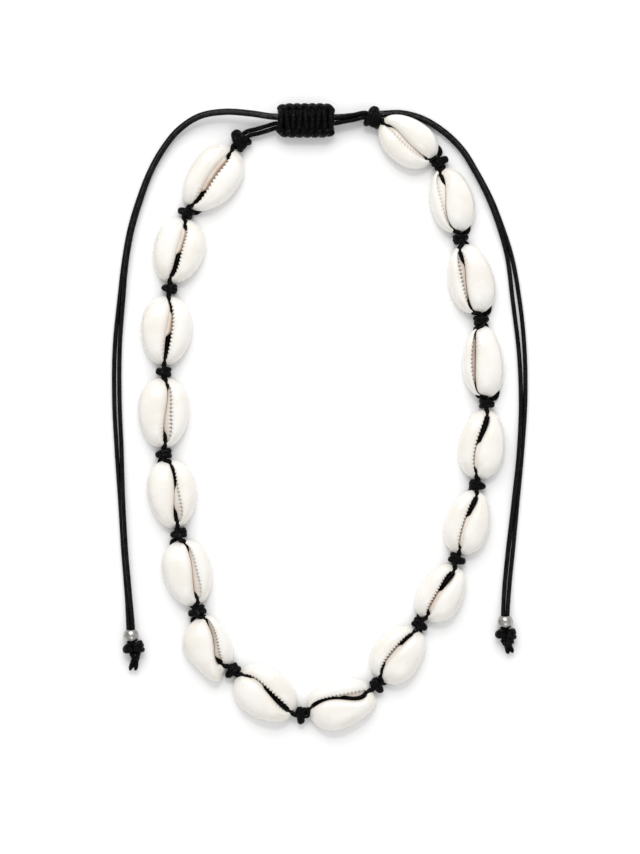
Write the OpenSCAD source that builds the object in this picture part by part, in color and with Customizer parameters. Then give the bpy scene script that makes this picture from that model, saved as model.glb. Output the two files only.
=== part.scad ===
/* [Shells] */
// Length of a middling shell, between its two notches
shell_length = 18; // [16:0.5:18.5]
// Width of a middling shell
shell_width = 13; // [11:0.5:14]
// Height of a shell from its cut rim to the top of its lips
shell_height = 6.2; // [5.6:0.1:7]
// Thickness of the shell wall
shell_wall = 1.2; // [0.8:0.1:1.4]
// Depth of the lips that roll in beside the slit
lip_depth = 2; // [1.5:0.1:2.3]
// Width of the slit between the lips
slit_width = 1.5; // [1.4:0.1:1.8]
// How far the slit bows towards the toothed lip
slit_bow = 1.5; // [0.6:0.1:1.8]
// Thickness of the bridge that closes each end of the slit
bridge_wall = 1; // [0.8:0.1:1.4]
// Height of the bridge above the arch under it
bridge_height = 0.6; // [0.5:0.05:0.7]
// Height of the arch under each bridge, where the back strand goes in
arch_height = 1.45; // [1.4:0.05:1.5]

/* [Cord] */
// Diameter of one strand
cord_d = 1.2; // [1:0.1:1.3]
// Space between two strands that lie side by side
strand_gap = 0.1; // [0.1:0.05:0.2]
// Space between a strand and what it passes
cord_clearance = 0.1; // [0.05:0.05:0.15]
// How far the front strand hides beside the slit at the middle of a shell
hidden_reach = 1.8; // [0:0.1:2]

/* [Knots] */
// Length of a knot along the string
knot_length = 3.2; // [2.8:0.1:3.3]
// Width of a knot across the string
knot_width = 5; // [4:0.1:5.4]
// Space between a middling shell and the knot on each side of it
shell_seat = 0.4; // [0.3:0.05:0.5]
// Height of a knot
knot_height = 3.5; // [3.4:0.1:3.8]
// Height between the two strands that leave a knot one above the other
strand_spread = 1.7; // [1.6:0.05:1.8]
// Length of the knot at each end of the string
end_knot_length = 4.6; // [4:0.1:4.8]
// Width of the knot at each end of the string
end_knot_width = 6.2; // [5.4:0.1:6.8]
// Height of the knot at each end of the string
end_knot_height = 3.8; // [3.6:0.1:4.2]

/* [Sliding knot] */
// Length of the sliding knot
slider_length = 16.2; // [12:0.1:16.4]
// Width of the sliding knot
slider_width = 9.4; // [8.4:0.1:10]
// Height of the sliding knot
slider_height = 5.8; // [5.4:0.1:6.4]
// Number of wraps in the sliding knot
slider_wraps = 8; // [5:1:9]

/* [Tail ends] */
// Outer diameter of the steel beads
bead_d = 4.2; // [3.8:0.1:5]
// Length of the steel beads along the cord, between their flat ends
bead_length = 3.1; // [2.6:0.1:3.2]
// Bore of the steel beads, for the two strands of a tail
bead_bore = 2.7; // [2.6:0.05:2.8]
// Length of the stopper knot under each bead
stopper_length = 4.8; // [4:0.1:5.6]
// Width of the stopper knot
stopper_width = 5.6; // [5:0.1:6.2]
// Height of the stopper knot
stopper_height = 4.2; // [3.8:0.1:5]
// Length of the cut strand ends below the stopper knot
cut_end_length = 3.4; // [2:0.1:5]
// How far the two cut ends turn away from each other
cut_end_splay = 6; // [4:1:12]

/* [Hidden] */
SHELL_COUNT = 17;
function two_digits(n) = str(n < 10 ? "0" : "", n);
SHELL_NODES = [for (i = [1 : SHELL_COUNT]) str("shell_", two_digits(i))];
KNOT_NODES = [for (i = [0 : SHELL_COUNT]) str("knot_", two_digits(i))];
TAIL_NODES = ["left_tail_outer", "left_tail_inner", "right_tail_outer", "right_tail_inner"];

cord_r = cord_d / 2;
pair_offset = (cord_d + strand_gap) / 2;
lying = cord_r + cord_clearance / 2;
round_fn = 48;

// The tables of places are drawn in steps: so many of them go from one knot to the next
knot_pitch = knot_length + shell_length + 2 * shell_seat;
steps_to_pitch = 44;
step = knot_pitch / steps_to_pitch;

// Route of the string, seen from above: a row for each knot, from the left end knot round the
// front of the neck to the right end knot:
// [steps across, steps up, share of the knot width, cords that pass below it]
KNOTS = [
    [-44, 149, 1, 0], [-73, 110, 0.95, 0], [-82, 69, 0.9, 0], [-85, 24, 0.9, 0],
    [-85, -20, 0.95, 0], [-77, -63, 0.95, 0], [-67, -105, 1.05, 0], [-48, -137, 1, 0],
    [-11, -161, 1, 0], [30, -145, 0.95, 0], [53, -112, 0.95, 0], [73, -77, 1, 0],
    [84, -37, 0.95, 0], [89, 7, 0.9, 0], [86, 52, 0.9, 0], [75, 96, 0.9, 0],
    [64, 137, 1, 0], [28, 161, 1, 1]
];

// A row for each shell: [shift along the string, turn, share of the length, share of half the
// width on the toothed side and on the smooth side, share of the bow, reach of the smooth lobe
// past the notch, cords that pass below the narrow end]
SHELLS = [
    [0.5, 0, 1.08, 1.1, 1, 1, 0.3, 0],
    [0, -2, 0.96, 1.1, 1, 0.9, 0.3, 0],
    [0.1, 0, 1.02, 1.05, 1.05, 1, 0.2, 0],
    [0, 0, 1.03, 1.05, 1.05, 1, 0.3, 0],
    [0.1, -2, 1, 1.05, 0.95, 1.1, 0.3, 0],
    [0.1, 2, 0.97, 1, 1, 0.9, 0.5, 0],
    [-0.1, 0, 0.82, 0.6, 1.3, 0.6, 4, 0],
    [-0.1, -1, 1, 1, 1.1, 1, 0.3, 0],
    [0.1, 0, 0.99, 0.85, 1.15, 1, 1.6, 0],
    [0.05, 0, 0.9, 1.05, 0.95, 1.1, 1, 0],
    [0, 0, 0.89, 0.8, 1.05, 0.5, 1, 0],
    [0, 0, 0.96, 0.9, 0.95, 1, 0.4, 0],
    [0, -1, 1.02, 0.95, 0.95, 1, 0.3, 0],
    [0, 0, 1.05, 0.9, 0.8, 1.2, 0.3, 0],
    [0, 0, 1.03, 0.95, 0.95, 1.1, 0.3, 0],
    [0, 0, 0.97, 0.85, 0.95, 1, 0.3, 0],
    [-0.3, 0, 0.94, 1, 0.92, 1, 0.3, 1]
];

// The slit from the wide end to the narrow end: [share of half the length, share of the bow]
SLIT_LINE = [[-1, 0], [-0.7, 0.6], [-0.35, 1], [0, 0.8], [0.35, 0.4], [0.7, 0.15], [1, 0]];
// The gap between the lips: [share of half the length, share of the slit's width]
SLIT_GAP = [[-1, 1], [-0.7, 0.9], [-0.35, 0.8], [0, 1], [0.35, 1.4], [0.7, 1.4], [1, 1]];

// Half a section of a shell where it is fully arched, and at its ends:
// [share of the way from the outline to the slit, share of the height]
OUTER_ARCH = [[0.1, 0], [0, 0.33], [0.06, 0.66], [0.27, 0.9], [0.6, 1], [0.88, 0.95], [1, 0.83]];
OUTER_END = [[0.12, 0], [0, 0.35], [0.06, 0.68], [0.27, 0.9], [0.6, 1], [0.88, 0.97], [1, 0.85]];
INNER_END = [[1, 0.62], [0.97, 0.46], [0.94, 0.32], [0.91, 0.18], [0.88, 0]];

// Tails, from the sliding knot to the stopper knot:
// [steps across, steps up, cord diameters above the surface, share of the pair's spread]
LEFT_TAIL = [
    [-24.6, 161.2, 2.45, 1], [-38, 163, 2.3, 1], [-52, 164, 1.8, 1],
    [-66, 161.6, 1.2, 1], [-76.4, 155, 0.7, 1], [-85.6, 144, 0.3, 1],
    [-92, 132.6, 0.05, 1], [-98, 117, 0, 1.1], [-102.8, 100.8, 0, 1.1],
    [-105.8, 84, 0, 1.1], [-108, 63, 0, 1.15], [-110, 41, 0, 1.4],
    [-110.4, 9, 0, 1.5], [-109.2, -18, 0, 1.45], [-107.8, -45, 0, 1.15],
    [-106.2, -72, 0, 1.1], [-104, -98, 0.3, 1.1], [-102.8, -114, 1.2, 1],
    [-102.4, -122.4, 1.2, 1]
];
RIGHT_TAIL = [
    [7.8, 161.1, 1.3, 1], [17, 162, 0.55, 1], [26, 162.8, 0, 1],
    [34, 163.4, 0, 1], [43, 163.6, 0, 1], [54, 160.8, 0, 1],
    [64.6, 154.6, 0, 1], [75.6, 144.2, 0, 1], [83.6, 131.4, 0, 1],
    [91, 117, 0, 1.1], [96.6, 102.4, 0, 1.1], [100.8, 88.8, 0, 1.15],
    [105, 63, 0, 1.5], [108, 36, 0, 1.2], [108.8, 9, 0, 1.1],
    [107.4, -18, 0, 1.1], [104.8, -45, 0, 1.1], [102, -72, 0, 1.3],
    [100, -92, 0.3, 1.4], [99, -106.6, 1.2, 1], [98.8, -115.2, 1.2, 1]
];
// Beads on the tails: [steps across, steps up, way that the bore runs]
LEFT_BEAD = [-102.6, -118, -88];
RIGHT_BEAD = [99, -110.6, -91];
// Stopper knots: [way it hangs, turn of its cut ends, share of their length]
LEFT_STOPPER = [-72, -30, 1];
RIGHT_STOPPER = [-80, 10, 0.6];

// Middle of the sliding knot, in steps, and where the loop's pairs of strands enter it:
// [cord diameters up from its middle, cord diameters above the surface]
SLIDER_PLACE = [-8.4, 159.4];
LEFT_LOOP_END = [-1.15, 1.3];
RIGHT_LOOP_END = [-0.1, 2.45];

function heading(a) = [cos(a), sin(a), 0];
function leftward(a) = [-sin(a), cos(a), 0];
function bearing(v) = atan2(v.y, v.x);
function unit(v) = v / norm(v);
function mix(a, b, t) = a + (b - a) * t;

// Knots on the string
last_knot = len(KNOTS) - 1;
function knot_spot(i) = step * [KNOTS[i][0], KNOTS[i][1], 0];
function passing(cords) = cords * (cord_d + 1.5 * cord_clearance);
function at_an_end(i) = i == 0 || i == last_knot;
function knot_size(i) = at_an_end(i)
    ? [end_knot_length, end_knot_width * KNOTS[i][2], end_knot_height]
    : [knot_length, knot_width * KNOTS[i][2], knot_height];
slider_middle = step * [SLIDER_PLACE.x, SLIDER_PLACE.y, 0];
function slider_end(way) = slider_middle + [way * slider_length / 2, 0, 0];
function spot_before(i) = i == 0 ? slider_end(-1) : knot_spot(i - 1);
function spot_after(i) = i == last_knot ? slider_end(1) : knot_spot(i + 1);
function knot_angle(i) =
    bearing(unit(knot_spot(i) - spot_before(i)) + unit(spot_after(i) - knot_spot(i)));
function knot_middle(i) = knot_spot(i) + [0, 0, knot_size(i).z / 2 + passing(KNOTS[i][3])];
function knot_face(i, way) = knot_middle(i) + way * knot_size(i).x / 2 * heading(knot_angle(i));
// Where a strand leaves a knot: the level is 1 for the upper one and -1 for the lower one
function strand_exit(i, way, level) = let (p = knot_face(i, way))
    [p.x, p.y, passing(KNOTS[i][3]) + (knot_height + level * strand_spread) / 2];

// Places on a shell: along from its middle, across to the toothed side, and up
function chord_angle(i) = bearing(knot_spot(i + 1) - knot_spot(i));
function shell_middle(i) =
    (knot_spot(i) + knot_spot(i + 1)) / 2 + SHELLS[i][0] * heading(chord_angle(i));
function shell_angle(i) = chord_angle(i) + SHELLS[i][1];
function half_length(i) = shell_length * SHELLS[i][2] / 2;
function tipped(i, along) = passing(SHELLS[i][7]) * (along / half_length(i) + 1) / 2;
function on_shell(i, p) = shell_middle(i) + p.x * heading(shell_angle(i))
    + p.y * leftward(shell_angle(i)) + [0, 0, p.z + tipped(i, p.x)];

notch_height = arch_height + bridge_height;
taper = 0.12;
around_steps = 24;
end_share = cos(180 / around_steps);
block_run = 1.3;
arch_run = 3.2;

function slit_middle(i, s) = slit_bow * SHELLS[i][5] * lookup(s, SLIT_LINE);
function outline_point(i, a) = let (
    toothed = sin(a) > 0,
    half_width = shell_width / 2 * (toothed ? SHELLS[i][3] : SHELLS[i][4]),
    lobe = !toothed && cos(a) > 0 ? SHELLS[i][6] * pow(sin(2 * a), 2) : 0
) [half_length(i) * cos(a) + lobe, half_width * sin(a) * (1 - taper * cos(a))];
function lip_point(i, a) = let (
    s = cos(a),
    side = sin(a) > 0 ? 1 : -1
) [(half_length(i) - bridge_wall) * s,
    slit_middle(i, s) + side * slit_width / 2 * lookup(s, SLIT_GAP)];

// One closed section of the wall, from the outline to the slit and back inside
function shell_section(i, a) = let (
    s = cos(a),
    rim = outline_point(i, a),
    lip = lip_point(i, a),
    run = norm(lip - rim),
    t = min(1, abs(s) / end_share),
    low = arch_height * pow(t, 6),
    high = mix(notch_height, shell_height, sqrt(1 - pow(t, 3))),
    tall = high - low,
    arched = min(1, max(0, (run - block_run) / arch_run)),
    wall = shell_wall / run,
    inner_arch = [
        [0.93, 1 - lip_depth / shell_height], [0.62, 1 - shell_wall / shell_height],
        [wall + 0.2, 0.76], [wall + 0.02, 0.4], [wall + 0.12, 0]
    ],
    section = concat(
        [for (k = [0 : 6]) mix(OUTER_END[k], OUTER_ARCH[k], arched)],
        [for (k = [0 : 4]) mix(INNER_END[k], inner_arch[k], arched)]
    )
) [for (q = section) let (p = mix(rim, lip, q[0])) [p.x, p.y, low + tall * q[1]]];

// A closed ring of sections: each section is a list of points, all of the same number
module ring_of(sections) {
    n = len(sections);
    m = len(sections[0]);
    points = [for (section = sections) each section];
    faces = [
        for (k = [0 : n - 1]) for (j = [0 : m - 1])
            let (a = k * m + j, b = k * m + (j + 1) % m,
                c = ((k + 1) % n) * m + (j + 1) % m, d = ((k + 1) % n) * m + j)
            each [[a, b, c], [a, c, d]]
    ];
    polyhedron(points = points, faces = faces, convexity = 8);
}

module shell(i) {
    color("ivory")
    ring_of([
        for (k = [0 : around_steps - 1])
            [for (p = shell_section(i, (k + 0.5) * 360 / around_steps)) on_shell(i, p)]
    ]);
}

// A strand through a list of points, with flat ends square to the two given directions
strand_sides = 8;
module strand(points, first_way, last_way) {
    n = len(points);
    rings = [
        for (k = [0 : n - 1])
            let (
                way = k == 0 ? first_way : k == n - 1 ? last_way
                    : unit(points[k] - points[k - 1]) + unit(points[k + 1] - points[k]),
                side = unit(cross([0, 0, 1], way)),
                up = unit(cross(way, side))
            )
            [for (j = [0 : strand_sides - 1]) let (a = (j + 0.5) * 360 / strand_sides)
                points[k] + cord_r * (cos(a) * side + sin(a) * up)]
    ];
    m = strand_sides;
    walls = [
        for (k = [0 : n - 2]) for (j = [0 : m - 1])
            let (a = k * m + j, b = k * m + (j + 1) % m, c = a + m, d = b + m)
            each [[a, c, d], [a, d, b]]
    ];
    first_cap = [for (j = [0 : m - 1]) j];
    last_cap = [for (j = [m - 1 : -1 : 0]) (n - 1) * m + j];
    polyhedron(points = [for (r = rings) each r], faces = concat([first_cap, last_cap], walls));
}

module front_strand() {
    over_notch = notch_height + cord_r + cord_clearance;
    inside = (over_notch + shell_height - lip_depth - cord_r) / 2;
    color("black")
    for (i = [0 : SHELL_COUNT - 1]) {
        h = half_length(i);
        reach = h - bridge_wall / 2;
        strand(
            concat(
                [strand_exit(i, 1, 1), on_shell(i, [-reach, 0, over_notch])],
                [for (s = [-0.78, -0.3, 0.3, 0.78])
                    on_shell(i, [
                        s * (h - bridge_wall),
                        slit_middle(i, s) - (abs(s) < 0.5 ? hidden_reach : 0),
                        mix(over_notch, inside, 1 - abs(s))
                    ])],
                [on_shell(i, [reach, 0, over_notch]), strand_exit(i + 1, -1, 1)]
            ),
            heading(knot_angle(i)), heading(knot_angle(i + 1))
        );
    }
}

module back_strand() {
    color("black")
    for (i = [0 : SHELL_COUNT - 1]) {
        h = half_length(i);
        strand(
            concat(
                [strand_exit(i, 1, -1)],
                [for (s = [-0.95, -0.5, 0.5, 0.95])
                    on_shell(i, [s * h, abs(s) < 0.9 ? -cord_r : 0, lying])],
                [strand_exit(i + 1, -1, -1)]
            ),
            heading(knot_angle(i)), heading(knot_angle(i + 1))
        );
    }
}

// One wrap round the cords of a knot: a ring with straight top and bottom, in the plane x = 0
module wrap(width, height) {
    bend = height / 2 - cord_r;
    straight = width - height;
    rotate([0, 90, 0]) {
        for (way = [-1, 1]) translate([0, way * straight / 2, 0])
            rotate([0, 0, way > 0 ? 0 : 180])
            rotate_extrude(angle = 180, $fn = round_fn) translate([bend, 0]) circle(cord_r);
        for (way = [-1, 1]) translate([way * bend, 0, 0])
            rotate([90, 0, 0]) cylinder(h = straight, r = cord_r, center = true, $fn = round_fn);
    }
}

// A knot along x: its cords run through wraps that lean to one side and to the other
wrap_lean = 12;
module knot_body(size, wraps) {
    core_r = strand_spread / 2 + cord_r;
    pitch = (size.x - cord_d) / (wraps + 0.2);
    rotate([0, 90, 0]) cylinder(h = size.x, r = core_r, center = true, $fn = round_fn);
    for (k = [0 : wraps - 1]) translate([(k - (wraps - 1) / 2) * pitch, 0, 0])
        rotate([0, 0, (k % 2 == 0 ? 1 : -1) * wrap_lean]) wrap(size.y, size.z);
}

module knot(i) {
    color("black")
    translate(knot_middle(i)) rotate([0, 0, knot_angle(i)])
        knot_body(knot_size(i), at_an_end(i) ? 3 : 2);
}

// The two strands from an end knot to the sliding knot: way is -1 on the left and 1 on the right
module end_strands(k, way, place) {
    face = knot_face(k, way);
    out_of_knot = face + way * cord_r * heading(knot_angle(k));
    end = slider_end(way) + cord_d * [0, place[0], place[1]] + [0, 0, lying];
    along = bearing(way * (end - face));
    color("black")
    for (side = [-1, 1]) {
        spread = side * pair_offset;
        strand(
            [
                face + spread * leftward(knot_angle(k)),
                out_of_knot + spread * leftward(knot_angle(k)),
                mix(face, end, 0.4) + spread * leftward(along),
                mix(face, end, 0.75) + spread * leftward(along),
                end - [0, spread, 0]
            ],
            way * heading(knot_angle(k)), [-way, 0, 0]
        );
    }
}

// Half the outline of the sliding knot along x: a core with a round edge for each wrap
module slider_profile() {
    pitch = slider_length / slider_wraps;
    wrap_r = pitch * 0.53;
    difference() {
        union() {
            translate([-slider_length / 2, 0]) square([slider_length, slider_height / 2 - wrap_r]);
            intersection() {
                for (k = [0 : slider_wraps - 1])
                    translate([-slider_length / 2 + (k + 0.5) * pitch, slider_height / 2 - wrap_r])
                        circle(wrap_r, $fn = round_fn);
                translate([-slider_length / 2, 0]) square([slider_length, slider_height]);
            }
        }
        translate([-slider_length, -slider_height]) square([2 * slider_length, slider_height]);
    }
}

module sliding_knot() {
    straight = slider_width - slider_height;
    color("black")
    translate(slider_middle + [0, 0, slider_height / 2]) {
        for (way = [-1, 1]) translate([0, way * straight / 2, 0])
            rotate([way > 0 ? 0 : 180, 0, 0]) rotate([0, 90, 0])
            rotate_extrude(angle = 180, $fn = round_fn) mirror([1, -1]) slider_profile();
        rotate([90, 0, 0]) linear_extrude(straight, center = true) {
            slider_profile();
            mirror([0, 1]) slider_profile();
        }
    }
}

function tail_angle(route, k) = let (
    before = route[max(k - 1, 0)],
    after = route[min(k + 1, len(route) - 1)]
) bearing([after.x - before.x, after.y - before.y]);
function tail_spot(route, k) = [step * route[k][0], step * route[k][1], lying + cord_d * route[k][2]];

// One strand of a tail, to the left or the right of the way that the tail runs
module tail_strand(route, side, way, last_angle) {
    n = len(route);
    first_angle = way > 0 ? 0 : 180;
    first_spot = [slider_end(way).x, tail_spot(route, 0).y, tail_spot(route, 0).z];
    color("black")
    strand(
        [for (k = [0 : n - 1])
            let (a = k == 0 ? first_angle : k == n - 1 ? last_angle : tail_angle(route, k))
            (k == 0 ? first_spot : tail_spot(route, k))
                + side * route[k][3] * pair_offset * leftward(a)],
        heading(first_angle), heading(last_angle)
    );
}

module bead(place) {
    color("silver")
    translate([step * place[0], step * place[1], bead_d / 2]) rotate([0, 90, place[2]]) difference() {
        intersection() {
            sphere(d = bead_d, $fn = round_fn);
            cylinder(h = bead_length, d = 2 * bead_d, center = true, $fn = round_fn);
        }
        cylinder(h = 2 * bead_length, d = bead_bore, center = true, $fn = round_fn);
    }
}

// A stopper knot at the end of its tail, with two cut strand ends that start inside it
module stopper(route, place) {
    top = tail_spot(route, len(route) - 1);
    length = cut_end_length * place[2] + cord_d;
    color("black")
    translate([top.x, top.y, stopper_height / 2]) rotate([0, 0, place[0]])
    translate([stopper_length / 2, 0, 0]) {
        knot_body([stopper_length, stopper_width, stopper_height], 3);
        for (way = [-1, 1]) translate([stopper_length / 2 - cord_d, way * pair_offset, 0])
            rotate([0, 90, place[1] + way * cut_end_splay])
            cylinder(h = length, r = cord_r, $fn = round_fn);
    }
}

for (i = [0 : SHELL_COUNT - 1]) shell(i);
for (i = [0 : last_knot]) knot(i);
front_strand();
back_strand();
end_strands(0, -1, LEFT_LOOP_END);  // left_end_strands
end_strands(last_knot, 1, RIGHT_LOOP_END);  // right_end_strands
sliding_knot();
tail_strand(LEFT_TAIL, -1, -1, LEFT_STOPPER[0]);  // left_tail_outer
tail_strand(LEFT_TAIL, 1, -1, LEFT_STOPPER[0]);  // left_tail_inner
tail_strand(RIGHT_TAIL, 1, 1, RIGHT_STOPPER[0]);  // right_tail_outer
tail_strand(RIGHT_TAIL, -1, 1, RIGHT_STOPPER[0]);  // right_tail_inner
bead(LEFT_BEAD);  // left_bead
bead(RIGHT_BEAD);  // right_bead
stopper(LEFT_TAIL, LEFT_STOPPER);  // left_stopper
stopper(RIGHT_TAIL, RIGHT_STOPPER);  // right_stopper
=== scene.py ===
"""Cowrie shell necklace: seventeen cut cowries on a doubled waxed cord, lying flat."""

import bpy
import numpy as np
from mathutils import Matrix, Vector


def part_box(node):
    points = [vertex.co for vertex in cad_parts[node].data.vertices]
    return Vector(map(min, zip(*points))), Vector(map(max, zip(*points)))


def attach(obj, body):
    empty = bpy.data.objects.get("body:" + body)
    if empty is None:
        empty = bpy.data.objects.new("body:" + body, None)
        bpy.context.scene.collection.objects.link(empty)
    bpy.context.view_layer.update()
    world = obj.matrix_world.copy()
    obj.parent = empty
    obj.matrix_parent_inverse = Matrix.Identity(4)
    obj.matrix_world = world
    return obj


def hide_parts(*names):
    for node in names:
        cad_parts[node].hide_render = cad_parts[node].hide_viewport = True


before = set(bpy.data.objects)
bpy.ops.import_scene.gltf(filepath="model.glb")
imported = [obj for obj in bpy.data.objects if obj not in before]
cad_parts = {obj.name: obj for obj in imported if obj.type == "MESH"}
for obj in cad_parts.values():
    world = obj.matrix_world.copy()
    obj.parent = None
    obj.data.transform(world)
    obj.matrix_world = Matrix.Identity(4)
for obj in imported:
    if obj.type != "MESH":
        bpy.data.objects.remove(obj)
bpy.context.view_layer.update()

bl_info = {
    "name": "Cowrie shell necklace",
    "version": (1, 0, 0),
    "blender": (4, 5, 0),
    "location": "View3D > Sidebar > Necklace",
    "description": "Builds a cowrie shell necklace with its cord, knots and beads",
    "category": "Add Mesh",
}

MM = 0.001
TURN = 2 * np.pi
ACROSS, ABOVE = np.array([1, 0, 0]), np.array([0, 0, 1])

# Places of the pieces, as the CAD source has them. The tables of places are drawn in steps of half
# a millimetre, and other lengths are in millimetres.
STEP = 0.5
# Diameter of a strand, half the way between two strands side by side, height of a lying strand
CORD, PAIR_OFFSET, LYING = 1.2, 0.65, 0.65
SHELL_LENGTH, SHELL_WIDTH, SHELL_HEIGHT, SHELL_WALL = 18, 13, 6.2, 1.2
BRIDGE_WALL, NOTCH_HEIGHT, ARCH_HEIGHT = 1, 2.05, 1.45
KNOT_SIZE, END_KNOT_SIZE, STRAND_SPREAD = (3.2, 5, 3.5), (4.6, 6.2, 3.8), 1.7
SLIDER_SIZE = (16.2, 9.4, 5.8)
STOPPER_SIZE = (4.8, 5.6, 4.2)
# Height that a cord below a piece gives it
UNDER_CORD = 1.35

# Knots: steps across, steps up, share of the knot's width, cords that pass below
KNOTS = np.array([
    (-44, 149, 1, 0), (-73, 110, 0.95, 0), (-82, 69, 0.9, 0), (-85, 24, 0.9, 0),
    (-85, -20, 0.95, 0), (-77, -63, 0.95, 0), (-67, -105, 1.05, 0), (-48, -137, 1, 0),
    (-11, -161, 1, 0), (30, -145, 0.95, 0), (53, -112, 0.95, 0), (73, -77, 1, 0),
    (84, -37, 0.95, 0), (89, 7, 0.9, 0), (86, 52, 0.9, 0), (75, 96, 0.9, 0),
    (64, 137, 1, 0), (28, 161, 1, 1),
])

# Shells: shift along the string, turn, share of the length, of half the width on the toothed
# and on the smooth side, reach of the smooth lobe, cords below the narrow end
SHELLS = np.array([
    (0.5, 0, 1.08, 1.1, 1, 0.3, 0), (0, -2, 0.96, 1.1, 1, 0.3, 0),
    (0.1, 0, 1.02, 1.05, 1.05, 0.2, 0), (0, 0, 1.03, 1.05, 1.05, 0.3, 0),
    (0.1, -2, 1, 1.05, 0.95, 0.3, 0), (0.1, 2, 0.97, 1, 1, 0.5, 0),
    (-0.1, 0, 0.82, 0.6, 1.3, 4, 0), (-0.1, -1, 1, 1, 1.1, 0.3, 0),
    (0.1, 0, 0.99, 0.85, 1.15, 1.6, 0), (0.05, 0, 0.9, 1.05, 0.95, 1, 0),
    (0, 0, 0.89, 0.8, 1.05, 1, 0), (0, 0, 0.96, 0.9, 0.95, 0.4, 0),
    (0, -1, 1.02, 0.95, 0.95, 0.3, 0), (0, 0, 1.05, 0.9, 0.8, 0.3, 0),
    (0, 0, 1.03, 0.95, 0.95, 0.3, 0), (0, 0, 0.97, 0.85, 0.95, 0.3, 0),
    (-0.3, 0, 0.94, 1, 0.92, 0.3, 1),
])

# Slit of each shell, in millimetres towards the toothed side: its smooth lip and its toothed lip,
# each at five places from the wide end to the narrow end
SLITS = np.array([
    (-0.4, -0.5, -0.6, 0, -0.3, 0.3, 0.9, 0.85, 1.25, 0.7),
    (-0.5, 0.2, 0, 0, -0.7, 0.6, 1.35, 1.3, 1.35, 0.4),
    (-0.3, 0.7, 0.2, -0.1, -0.4, 0.5, 1.6, 1.6, 1.2, 0.5),
    (0.2, 1.1, 0.5, 0, -0.1, 1.1, 2.1, 2.1, 2.2, 1),
    (0.7, 1.3, 0.9, 0.1, 0, 1.5, 2.1, 2.15, 2.4, 1.1),
    (1.3, 1.7, 1.3, 0.5, 0.2, 1.7, 2.7, 2.6, 2.5, 1.1),
    (0.8, 0.6, -0.3, -1.8, -2.1, 1.5, 1.7, 0.9, -0.3, -0.8),
    (0, 1.2, 0.4, -0.7, -1.1, 0.9, 1.9, 1.4, 0.8, -0.1),
    (0.6, 1.4, 0.5, -1.4, -1, 1.6, 2.3, 1.6, 0.8, 0.2),
    (0.3, 1.6, 1.3, 0.7, -0.3, 1.3, 2.3, 2.2, 1.8, 0.7),
    (-1.1, -0.4, -0.4, -1.1, -1.4, -0.1, 0.5, 0.5, 0.6, -0.3),
    (-0.4, 0.3, 0.3, -0.6, -1, 0.4, 1.1, 1.1, 0.8, -0.1),
    (0.1, 1.1, 0.7, -0.6, -0.8, 0.9, 1.9, 1.8, 1, 0.2),
    (2.1, 2.6, 2.3, 2, 1.5, 2.5, 3.3, 3.4, 2.9, 2.1),
    (1.4, 1.9, 1.4, 0.7, 0.7, 2.1, 2.6, 2.5, 2.4, 1.6),
    (1.1, 2, 1.3, 0.3, 0.5, 1.4, 2.7, 2.6, 2.6, 1.4),
    (1, 1, 0.4, -0.5, -0.3, 1.7, 2, 1.6, 0.8, 0.3),
])
SLIT_PLACES = np.array([-1, -0.5, 0, 0.5, 1])

# What is seen in each slit: the share of its length with cord at the wide and at the narrow end,
# the most that the ledge leaves open there, whether the ledge is on the toothed side, how tan
# and how pale it is. Last, where the lower strand comes out at the wide and at the narrow end.
SEEN = np.array([
    (0.13, 0.27, 2.5, 2.5, 0, 1, 0.35, 0, 2.6), (0.12, 0.47, 2.5, 2.5, 0, 0.6, 0.6, 0, 0),
    (0.2, 0.45, 2.5, 2.5, 0, 0.9, 0.4, 0, 0), (0.12, 0.22, 1, 0.9, 1, 0.3, 0.5, 0, 0),
    (0.42, 0.28, 1, 0.9, 1, 0.2, 0.7, -2, 0), (0.15, 0.13, 0.4, 0.5, 1, 0.4, 0.8, -2.4, -1.5),
    (0, 0.2, 0.3, 1.4, 1, 0.4, 0.6, -2.8, 0), (0.15, 0.6, 2.5, 2.5, 0, 0.4, 0.6, 0, 0),
    (0.5, 0.5, 2.5, 1.1, 1, 0.4, 0.6, 0, 0), (0.22, 0.33, 2.5, 2.5, 0, 0.5, 0.5, -1.5, -1.5),
    (0.1, 0.47, 2.5, 2.5, 0, 0.9, 0.5, 1.5, 0), (0.06, 0.4, 2.5, 2.5, 0, 0.5, 0.9, 0, 1.5),
    (0.1, 0.5, 2.5, 2.5, 0, 0.1, 0.9, 0, 0), (0.22, 0.13, 0.35, 0.5, 1, 0.6, 0.6, -3.2, -1.5),
    (0.22, 0.26, 0.8, 0.9, 1, 0.3, 0.45, -3.2, -1.5), (0, 0.22, 0.3, 0.8, 1, 0, 1, -3, 0),
    (0.03, 0.17, 0.8, 0.45, 1, 0.1, 0.85, -3.2, 0),
])

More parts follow.
